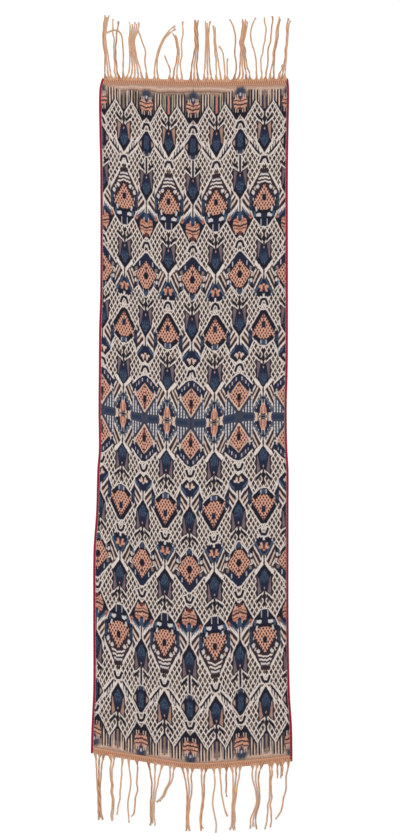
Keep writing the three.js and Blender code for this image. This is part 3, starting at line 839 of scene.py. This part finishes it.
def chart_layer(name, figures, dyes, given):
    """One section of the chart, painted over a colour. It is a node group of its own, which keeps each tree
    small. Given to it are the coordinates, the colour below, and the dyes that change over the cloth."""
    group = bpy.data.node_groups.new(name, "ShaderNodeTree")
    for key in given:
        kind = "NodeSocketFloat" if key in ("x", "y") else "NodeSocketColor"
        group.interface.new_socket(name=key, in_out="INPUT", socket_type=kind)
    group.interface.new_socket(name="painted", in_out="OUTPUT", socket_type="NodeSocketColor")
    entry = group.nodes.new("NodeGroupInput")
    within = {key: Shade(group, entry.outputs[key]) for key in given}
    colour = within["colour"]
    motifs = dict.fromkeys(figure[0] for figure in figures)
    places = {motif: nearest_place(within["x"], within["y"], motif) for motif in motifs}
    for motif, dyed, rim, *corners in figures:
        distance = inside(*places[motif], corners)
        if rim > 0:
            colour = distance.ramp(-rim - SOFT, -rim + SOFT).between(colour, dyes.cream)
        soft = max(SOFT, -rim)
        figure = within[dyed] if dyed in within else getattr(dyes, dyed)
        colour = distance.ramp(-soft, soft).between(colour, figure)
    leave = group.nodes.new("NodeGroupOutput")
    group.links.new(colour.socket, leave.inputs[0])
    first = next(iter(given.values()))
    return first.make("ShaderNodeGroup", {"node_tree": group}, given)


def lozenges(x, y, width, height):
    """How far out in its lozenge of a net a point is: 0 in the middle and a half on the lines."""
    cell, lean = x * (1 / width), y * (1 / height)
    return abs((cell + lean).fraction() - 0.5).most(abs((cell - lean).fraction() - 0.5))


def ikat_finish(dyes):
    """The dyed panel. The chart's figures are painted one after the other over a net of lozenges. Before
    that, each yarn is shifted a little, which feathers the figures' edges. After it, a broken dark line marks
    the seam, and streaks along the warp vary the shade."""
    material, start, shader = new_finish("ikat_cotton", 0.92, 0.12)
    column, off = map_axes(start, "chart")
    _, depth = map_axes(start, "depth")
    yarn = column * HALF_REPEAT

    def grain(kind, detail=1.0):
        across, along = GRAIN[kind]
        return start.noise(yarn * across, off * along, detail)

    fine = grain("fine") - 0.5
    x = fine.times_plus(FRAY_ACROSS, column.math("PINGPONG", column, 1.0) * HALF_REPEAT)
    y = abs(off) + (grain("drift") - 0.5) * DRIFT_ALONG + fine * FRAY_ALONG

    net = lozenges(x - NET_X, y - NET_Y, NET_WIDTH, NET_HEIGHT)
    dot = grain("net").ramp(0.42, 0.64).between(dyes.net_dot, dyes.bark)
    colour = net.ramp(0.36, 0.3).between(dyes.taupe, dot)
    colour = net.ramp(0.37, 0.43).between(colour, dyes.cream)
    upper = abs(column - SEAM_COLUMN).ramp(2.2, 1.8) * (off > 0)
    dots = lozenges(x, y, DOT_WIDTH, DOT_HEIGHT).ramp(0.4, 0.26)
    stripes = abs((x * (1 / STRIPE_WIDTH)).fraction() - 0.5).ramp(0.2, 0.36)
    beads = abs((y * (1 / BEAD_HEIGHT)).fraction() - 0.5).ramp(0.46, 0.34).times_plus(0.7, 0.3)
    faded = grain("comb").ramp(0.32, 0.5).between(dyes.drab, dyes.blush)
    given = {
        "x": x,
        "y": y,
        "orange": dots.between(dyes.orange, dyes.rust),
        "apricot": grain("beetle").ramp(0.35, 0.7).between(dyes.salmon, dyes.apricot),
        "flecked": grain("fleck").ramp(0.3, 0.72).between(dyes.navy, dyes.steel),
        "wing": abs(off).ramp(245, 270).between(dyes.mauve, dyes.wing),
        "comb": stripes.between(dyes.black, faded),
        "fence": (stripes * beads).between(dyes.slate, dyes.pale),
        "comb_red": upper.between(dyes.drab, dyes.salmon),
        "comb_green": upper.between(dyes.blush, dyes.sage),
    }
    colour = chart_layer("ground of the ends", END_CHART, dyes, given | {"colour": colour})

    level = depth - grain("line") * LINE_WAVE
    light = abs(level - LIGHT_LINE).ramp(1.3, 0.4) * 0.55
    dark = abs(level - DARK_LINE).ramp(1.4, 0.4) * 0.5
    bare = grain("bare").ramp(0.3, 0.75).between(dyes.drab, dyes.tan)
    bare = light.between(depth.ramp(10, 16).between(dyes.tan, bare), dyes.blush)
    bare = dark.between(bare, dyes.umber)
    colour = (fine * BARE_FRAY + depth).ramp(BARE_STOP, BARE_FULL).between(colour, bare)
    for name, figures in CHART.items():
        colour = chart_layer(name, figures, dyes, given | {"colour": colour})

    seam = abs(yarn - SEAM_COLUMN * HALF_REPEAT).ramp(0.8, 0.3) * grain("seam").ramp(0.2, 0.7)
    colour = (seam * 0.6).between(colour, dyes.black)
    tint = grain("streak", 2.0).times_plus(0.5, 0.75) * grain("shade").times_plus(0.4, 0.8)
    shade = start.make("ShaderNodeCombineXYZ", {}, {0: tint, 1: tint, 2: tint})
    colour = start.make("ShaderNodeVectorMath", {"operation": "MULTIPLY"}, {0: colour, 1: shade})
    start.tree.links.new(colour.socket, shader.inputs["Base Color"])

    ribs = yarn.math("SINE", yarn * 8.0)
    picks = off.math("SINE", off * 9.0)
    bump = start.make("ShaderNodeBump", {}, {"Strength": 0.15, "Distance": 0.0004, "Height": ribs * picks})
    start.tree.links.new(bump.socket, shader.inputs["Normal"])
    return material


def edging_finish(dyes):
    """Crimson cord with painted shade: each turn is darker over part of its length, in step with the swell of
    the cord's turns, and mottled.
    """
    material, start, shader = new_finish("red_cotton", 0.88, 0.1)
    turn, along = map_axes(start, "turns")
    # Painted shade along each turn: the share of full crimson rises and falls with the cord's swell, and
    # crimson at 0.7 of its brightness fills the rest.
    painted_turn_light = turn.math("SINE", turn * (2 * np.pi)).times_plus(0.5, 0.5)
    mottle = start.noise(turn * 0.7, along * 3.0, 2.0)
    dark = tuple(0.7 * part for part in dyes.crimson)
    colour = (painted_turn_light * 0.6 + mottle * 0.5).ramp(0.1, 0.9).between(dark, dyes.crimson)
    start.tree.links.new(colour.socket, shader.inputs["Base Color"])
    return material


def heading_finish(dyes):
    """Twined heading: rows of slanting turns, light and dark in the middle row and light in the others."""
    material, start, shader = new_finish("heading_cotton", 0.92, 0.1)
    turn, row = map_axes(start, "turns")
    mottle = start.noise(turn * 0.8, row * 1.5, 2.0)
    slant = (turn + row * 0.25).fraction()
    spot = abs(slant - 0.5).ramp(0.2, 0.36)
    middle = abs(row - 1.2).ramp(1.5, 0.6)
    colour = mottle.ramp(0.3, 0.75).between(dyes.tan, dyes.heading)
    colour = (spot * middle * 0.85).between(colour, dyes.heading_dot)
    start.tree.links.new(colour.socket, shader.inputs["Base Color"])
    return material


def yarn_finish(dyes):
    """Loose yarn: each has its own place between dark, fresh and faded dye, and fades towards its tip. The
    dark end is both stained yarn and painted shade, given to strands at random.
    """
    material, start, shader = new_finish("tan_cotton", 0.95, 0.15)
    along, tone = map_axes(start, "strands")
    tone = tone + start.noise(along * 14.0, tone * 9.0, 2.0) * 0.5 + along * 0.15 - 0.36
    # Low tones take the dark yarn, which is both stained yarn and painted shade.
    colour = tone.ramp(0.0, 0.45).between(dyes.yarn_stain_and_shade, dyes.yarn)
    colour = tone.ramp(0.45, 0.9).between(colour, dyes.yarn_grey)
    start.tree.links.new(colour.socket, shader.inputs["Base Color"])
    return material


def settings():
    """The sizes in millimetres, as one plain dictionary, and the dyes."""
    scene = bpy.context.scene
    sizes = {name: getattr(scene.ikat_sizes, name) / MM for name in IkatSizes.__annotations__}
    return sizes, scene.ikat_dyes


def edge_of(end, depth):
    """The curve of an end edge of the cloth, moved inwards by a depth."""
    inward = -depth if end == "top" else depth
    return lambda x: through(ENDS, "x", end, x) + inward


class IKAT_OT_panel(bpy.types.Operator):
    """Builds the dyed panel as a thin slab with soft ripples. Height: the product of a slow wave across the
    cloth and one along it, each bent a little along its crest, squared so that the hollows lie flat."""

    bl_idname = "ikat.panel"
    bl_label = "Panel"

    def execute(self, context):
        size, dyes = settings()
        cols, rows = PANEL_POINTS
        depth = size["heading_depth"] + size["gap"]
        inset = size["edging_width"] + size["gap"]
        x, y = panel_grid(cols, rows, inset, edge_of("bottom", depth), edge_of("top", depth))
        across = np.sin(x / RIPPLE_X + ACROSS_BEND * np.sin(y / BEND_Y))
        along = np.sin(y / RIPPLE_Y + ALONG_BEND * np.sin(x / BEND_X))
        wave = across * along
        lift = size["ripple"] * wave * wave
        high = lift + size["thickness"]
        piece = new_slab("cloth_panel", x, y, lift, high, ikat_finish(dyes), "cloth", "ikat_cotton")
        at = loop_points(piece.data)
        add_map(piece.data, "chart", np.stack(chart_place(x.ravel(), y.ravel()), -1)[at % (rows * cols)])
        ends = np.minimum(through(ENDS, "x", "top", x) - y, y - through(ENDS, "x", "bottom", x)) / CHART_MM
        add_map(piece.data, "depth", np.stack([0 * ends, ends], -1).reshape(-1, 2)[at % (rows * cols)])
        # For baking, the upper side lies beside the lower one, and the rim in a strip past both. A grid face
        # has four corners, so the rim's corners come after eight for each place in the grid.
        p, q = np.meshgrid(np.linspace(0, 0.48, cols), np.linspace(0, 1, rows))
        flat = np.stack([p, q], -1).reshape(-1, 2)
        unfolded = np.concatenate([flat, flat + (0.5, 0)])[at]
        rim = np.arange(len(at)) >= 8 * (rows - 1) * (cols - 1)
        unfolded[rim, 0] = np.where(at[rim] < rows * cols, 0.985, 1.0)
        add_map(piece.data, "OFBake", unfolded)
        return {"FINISHED"}


def lofted(tubes, steps, sides):
    """Faces of tubes whose points are an array of (tube, step, side): quads round each tube, and caps."""
    at = np.arange(tubes * steps * sides).reshape(tubes, steps, sides)
    after = np.roll(at, -1, axis=2)
    quads = np.stack([at[:, :-1], after[:, :-1], after[:, 1:], at[:, 1:]], -1).reshape(-1, 4)
    caps = np.concatenate([at[:, 0, ::-1], at[:, -1]])
    return quads.tolist() + caps.tolist()


class IKAT_OT_edging(bpy.types.Operator):
    """Builds the red edging down each side: a half-round section carried along the side's edge, whose radius
    swells and sinks in slanting turns like a laid cord."""

    bl_idname = "ikat.edging"
    bl_label = "Edging"

    def execute(self, context):
        size, dyes = settings()
        finish = edging_finish(dyes)
        for side, inward in (("left", 1), ("right", -1)):
            low, high = (float(through(ENDS, "x", end, -inward * EDGING_X)) for end in ("bottom", "top"))
            y = np.arange(low, high, size["edging_turn"] / TURN_STEPS)
            middle = through(SIDES, "y", side, y) + inward * size["edging_width"] / 2
            angle = np.linspace(0, np.pi, SECTION_POINTS)
            turn = y[:, None] / size["edging_turn"] + angle / np.pi
            swell = 1 - SWELL * (1 + np.sin(2 * np.pi * turn))
            across = np.cos(angle) * swell * size["edging_width"] / 2
            height = np.sin(angle) * swell * size["edging_height"]
            points = np.stack([middle[:, None] + across, y[:, None] + 0 * across, height], -1)
            faces = lofted(1, len(y), len(angle))
            piece = new_piece(
                f"edging_cord_{side}", points.reshape(-1, 3), faces, finish, f"edging_{side}", "red_cotton"
            )
            place = np.stack([turn, y[:, None] / 100 + 0 * turn], -1).reshape(-1, 2)
            add_map(piece.data, "turns", place[loop_points(piece.data)])
        return {"FINISHED"}


class IKAT_OT_headings(bpy.types.Operator):
    """Builds the two twined headings as slabs. Height: rows across the depth, each of rounded, slanting
    turns, so the surface is the root of the product of one bow across the row and one along each turn."""

    bl_idname = "ikat.headings"
    bl_label = "Headings"

    def execute(self, context):
        size, dyes = settings()
        finish = heading_finish(dyes)
        for end in FRINGES:
            cols, rows = HEADING_POINTS
            depth = size["heading_depth"]
            first, last = (depth, 0) if end == "top" else (0, depth)
            inset = size["edging_width"] + size["gap"]
            x, y = panel_grid(cols, rows, inset, edge_of(end, first), edge_of(end, last))
            row = np.linspace(0, TWINING_ROWS, rows)[:, None] + 0 * x
            turn = x / size["twining"]
            bow = np.abs(np.sin(np.pi * row) * np.sin(np.pi * (turn + TWINING_SLANT * row)))
            high = size["heading_height"] + TWINING_HEIGHT * np.sqrt(bow)
            piece = new_slab(f"heading_{end}", x, y, 0 * x, high, finish, f"fringe_{end}", "tan_cotton")
            place = np.stack([turn, row], -1).reshape(-1, 2)
            add_map(piece.data, "turns", place[loop_points(piece.data) % (rows * cols)])
        return {"FINISHED"}


def strand_controls(end):
    """The number of each strand's lock, and the control points of its Bezier curve in millimetres, as an
    array of (strand, four points, X and Y). Strands of a lock start evenly along the heading, run side by
    side at gather and bend, and end spread at tip."""
    fringe = FRINGES[end]
    lock = fringe["locks"]
    count = lock["strands"].astype(int)
    of = np.repeat(np.arange(len(count)), count)
    number = np.arange(len(of)) - np.repeat(np.cumsum(count) - count, count)
    lock = {name: values[of] for name, values in lock.items()}
    rank = number - (count[of] - 1) / 2
    share = np.where(count[of] > 1, number / np.maximum(count[of] - 1, 1), 0.5)

    def point(name):
        return np.stack([lock[name + "_x"], fringe["line"] + fringe["outward"] * lock[name + "_r"]], -1)

    gather, bend, tip = point("gather"), point("bend"), point("tip")
    run = (tip - gather) / np.linalg.norm(tip - gather, axis=1, keepdims=True)
    across = fringe["outward"] * np.stack([run[:, 1], -run[:, 0]], -1)
    root_x = between(lock["start"], lock["stop"], share)
    root_y = through(ENDS, "x", end, root_x) - fringe["outward"] * ROOT_INSET
    beside = across * (rank * STRAND_PITCH)[:, None]
    spread = across * (rank * lock["spread"])[:, None] - run * (RAGGED_CUT * (number % 2))[:, None]
    return of, np.stack([np.stack([root_x, root_y], -1), gather + beside, bend + beside, tip + spread], 1)


def strand_paths(lock, controls, t, chance):
    """Middle lines of the strands at shares t of their curves, the directions beside them, and the travel from
    the root. Each is a Bezier curve over the floor, swayed to the side by a sum of sine waves."""
    weights = np.stack([(1 - t) ** 3, 3 * t * (1 - t) ** 2, 3 * t * t * (1 - t), t**3], -1)
    centre = np.einsum("tk,skc->stc", weights, controls)
    run = np.gradient(centre, axis=1)
    run /= np.linalg.norm(run, axis=2, keepdims=True)
    across = np.stack([run[..., 1], -run[..., 0]], -1)
    travel = np.linalg.norm(np.diff(centre, axis=1, prepend=centre[:, :1]), axis=2).cumsum(axis=1)
    waves, locks = len(SWAY["length"]), lock[-1] + 1
    shared = chance.normal(0, 1, (waves, locks, 1))[:, lock]
    sway = shared + chance.normal(0, SWAY_OWN, (waves, len(lock), 1))
    sway *= SWAY["height"][:, None, None]
    phase = chance.uniform(0, 2 * np.pi, (waves, locks, 1))[:, lock]
    phase = phase + 2 * np.pi * travel / SWAY["length"][:, None, None]
    swing = (sway * np.sin(phase)).sum(axis=0) * (1 - np.exp(-travel / SWAY_START))
    return centre + across * swing[..., None], across, travel


class IKAT_OT_fringes(bpy.types.Operator):
    """Builds the loose fringe at each end. Each strand is made of yarns: tubes that fan out at the root, wind
    round the strand's middle line, and part again at the tip."""

    bl_idname = "ikat.fringes"
    bl_label = "Fringes"

    def execute(self, context):
        size, dyes = settings()
        finish = yarn_finish(dyes)
        chance = np.random.default_rng(SEED)
        for end in FRINGES:
            lock, controls = strand_controls(end)
            strands, plies, steps, sides = len(controls), YARNS, YARN_STEPS, YARN_CORNERS
            t = np.linspace(0, 1, steps)
            centre, across, travel = strand_paths(lock, controls, t, chance)
            rank = np.linspace(-1, 1, plies)[None, :, None]
            root = np.exp(-travel / ROOT_FADE)[:, None, :]
            tip = np.exp(-(travel[:, -1:] - travel) / TIP_FADE)[:, None, :]
            wind = (1 - root) * (1 - TIP_UNWIND * tip) * size["twist_radius"]
            start = chance.uniform(0, 2 * np.pi, (strands, 1, 1))
            phase = travel[:, None, :] / WINDING + np.pi * (rank + 1) * (plies - 1) / plies + start
            stray = chance.normal(0, 1, (strands, plies, 1))
            fan = rank * root * ROOT_FAN + (TIP_FAN * rank + TIP_STRAY * stray) * tip
            beside = wind * np.cos(phase) + fan
            radius = size["yarn_radius"] * (1 - TIP_TAPER * tip)
            lift = 0.5 * wind * (1 + np.sin(phase)) + radius

            angle = np.linspace(0, 2 * np.pi, sides, endpoint=False)
            reach = beside[..., None] + radius[..., None] * np.cos(angle)
            plan = centre[:, None, :, None, :] + reach[..., None] * across[:, None, :, None, :]
            height = lift[..., None] + radius[..., None] * np.sin(angle) + 0 * reach
            points = np.concatenate([plan, height[..., None]], -1)
            faces = lofted(strands * plies, steps, sides)
            piece = new_piece(
                f"fringe_yarn_{end}", points.reshape(-1, 3), faces, finish, f"fringe_{end}", "tan_cotton"
            )
            tone = chance.uniform(TONE_LOW, TONE_HIGH, (strands, 1, 1, 1))
            tone = tone + chance.normal(0, TONE_OWN, (strands, plies, 1, 1))
            tone = np.clip(tone, 0, 1) + 0 * reach
            place = np.stack([t[None, None, :, None] + 0 * reach, tone], -1).reshape(-1, 2)
            add_map(piece.data, "strands", place[loop_points(piece.data)])
        return {"FINISHED"}


class IKAT_OT_stage(bpy.types.Operator):
    """Lays the pale floor, sets soft light from above, and looks straight down on the cloth."""

    bl_idname = "ikat.stage"
    bl_label = "Stage"

    def execute(self, context):
        scene = context.scene
        mesh = bpy.data.meshes.new("floor")
        half = FLOOR_HALF
        corners = [(-half, -half, 0), (half, -half, 0), (half, half, 0), (-half, half, 0)]
        mesh.from_pydata(corners, [], [(0, 1, 2, 3)])
        material, _, shader = new_finish("pale_floor", 0.9, 0.0)
        shader.inputs["Base Color"].default_value = opaque(scene.ikat_dyes.floor)
        mesh.materials.append(material)
        floor = bpy.data.objects.new("floor", mesh)
        scene.collection.objects.link(floor)
        floor.location.z = -FLOOR_DROP

        world = bpy.data.worlds.new("studio")
        world.use_nodes = True
        sky = world.node_tree.nodes["Background"]
        sky.inputs["Color"].default_value = (1, 1, 1, 1)
        sky.inputs["Strength"].default_value = WORLD_STRENGTH
        scene.world = world
        lamp = bpy.data.lights.new("soft_box", "AREA")
        lamp.shape = "RECTANGLE"
        lamp.size, lamp.size_y = LAMP_SIZE
        lamp.energy = LAMP_WATTS
        box = bpy.data.objects.new("soft_box", lamp)
        box.location = LAMP_PLACE
        box.rotation_euler = LAMP_TURN
        scene.collection.objects.link(box)

        camera = bpy.data.cameras.new("camera")
        camera.lens, camera.sensor_width = LENS_MM, SENSOR_MM
        eye = bpy.data.objects.new("camera", camera)
        eye.location = CAMERA_PLACE
        scene.collection.objects.link(eye)
        scene.camera = eye
        scene.view_settings.view_transform = "Standard"
        return {"FINISHED"}


class IKAT_PT_cloth(bpy.types.Panel):
    """Lists the cloth's pieces, sizes and dyes."""

    bl_idname = "IKAT_PT_cloth"
    bl_label = "Ikat shoulder cloth"
    bl_space_type = "VIEW_3D"
    bl_region_type = "UI"
    bl_category = "Ikat"

    def draw(self, context):
        for operator in OPERATORS:
            self.layout.operator(operator.bl_idname)
        for group in (context.scene.ikat_sizes, context.scene.ikat_dyes):
            column = self.layout.column(align=True)
            for name in type(group).__annotations__:
                column.prop(group, name)


OPERATORS = (IKAT_OT_panel, IKAT_OT_edging, IKAT_OT_headings, IKAT_OT_fringes, IKAT_OT_stage)
CLASSES = (IkatDyes, IkatSizes, *OPERATORS, IKAT_PT_cloth)


def register():
    for each in CLASSES:
        bpy.utils.register_class(each)
    bpy.types.Scene.ikat_sizes = bpy.props.PointerProperty(type=IkatSizes)
    bpy.types.Scene.ikat_dyes = bpy.props.PointerProperty(type=IkatDyes)


def unregister():
    del bpy.types.Scene.ikat_dyes
    del bpy.types.Scene.ikat_sizes
    for each in reversed(CLASSES):
        bpy.utils.unregister_class(each)


def main():
    register()
    bpy.ops.ikat.panel()
    bpy.ops.ikat.edging()
    bpy.ops.ikat.headings()
    bpy.ops.ikat.fringes()
    bpy.ops.ikat.stage()


if __name__ == "__main__":
    main()
